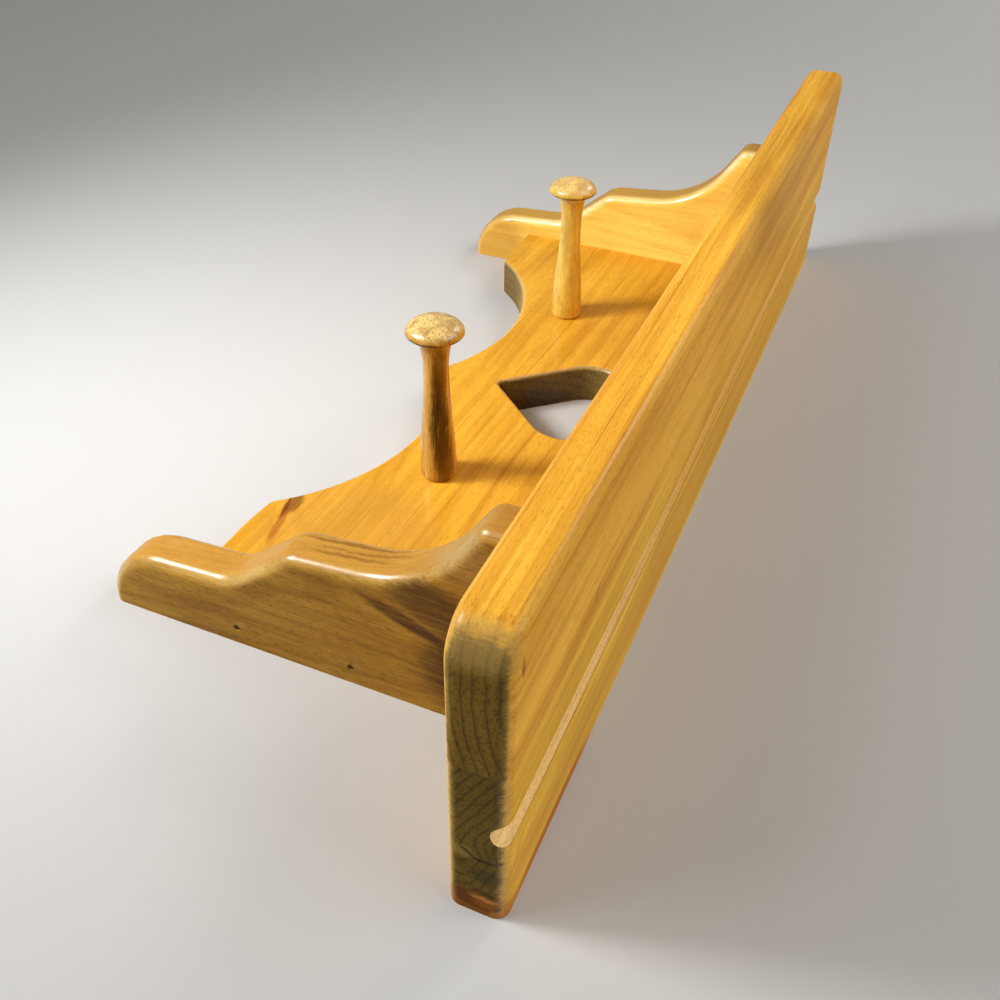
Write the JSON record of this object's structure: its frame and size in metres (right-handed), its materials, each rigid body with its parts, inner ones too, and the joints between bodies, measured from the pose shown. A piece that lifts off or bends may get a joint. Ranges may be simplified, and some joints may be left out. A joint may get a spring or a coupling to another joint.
{
  "type": "wall plate rack",
  "caption": "Small wooden wall shelf with a plate groove, scrolled side brackets, a back board with a heart cut-out and arched lower edge, and turned hanging pegs.",
  "frame": {"origin": "middle of the rack's outline on the wall plane, which is the plane it rests on when it lies on its back", "axes": "+X along the shelf to the right end as hung, +Y up as hung towards the shelf's top face, +Z out of the wall"},
  "size_m": [0.484, 0.1924, 0.115],
  "materials": {
    "board_wood": "golden stained hardwood under satin varnish",
    "shelf_wood": "golden brown stained hardwood under satin varnish",
    "bracket_wood": "golden brown stained hardwood under satin varnish",
    "peg_wood": "turned hardwood, stained, under gloss varnish",
    "dowel_wood": "plain beech dowel, glued in",
    "nail_steel": "bright wire nail, dulled",
    "hanger_steel": "zinc plated stamped steel",
    "screw_steel": "zinc plated steel"
  },
  "bodies": {
    "root": {"back_board": "board_wood", "shelf_front_stave": "shelf_wood", "shelf_back_stave": "shelf_wood", "left_bracket": "bracket_wood", "right_bracket": "bracket_wood", "left_peg": "peg_wood", "right_peg": "peg_wood", "left_back_dowel": "dowel_wood", "left_front_dowel": "dowel_wood", "right_back_dowel": "dowel_wood", "right_front_dowel": "dowel_wood", "left_board_dowel": "dowel_wood", "middle_board_dowel": "dowel_wood", "right_board_dowel": "dowel_wood", "left_upper_nail": "nail_steel", "left_lower_nail": "nail_steel", "right_upper_nail": "nail_steel", "right_lower_nail": "nail_steel", "left_hanger_plate": "hanger_steel", "right_hanger_plate": "hanger_steel", "left_hanger_upper_screw": "screw_steel", "left_hanger_lower_screw": "screw_steel", "right_hanger_upper_screw": "screw_steel", "right_hanger_lower_screw": "screw_steel"}
  },
  "joints": []
}
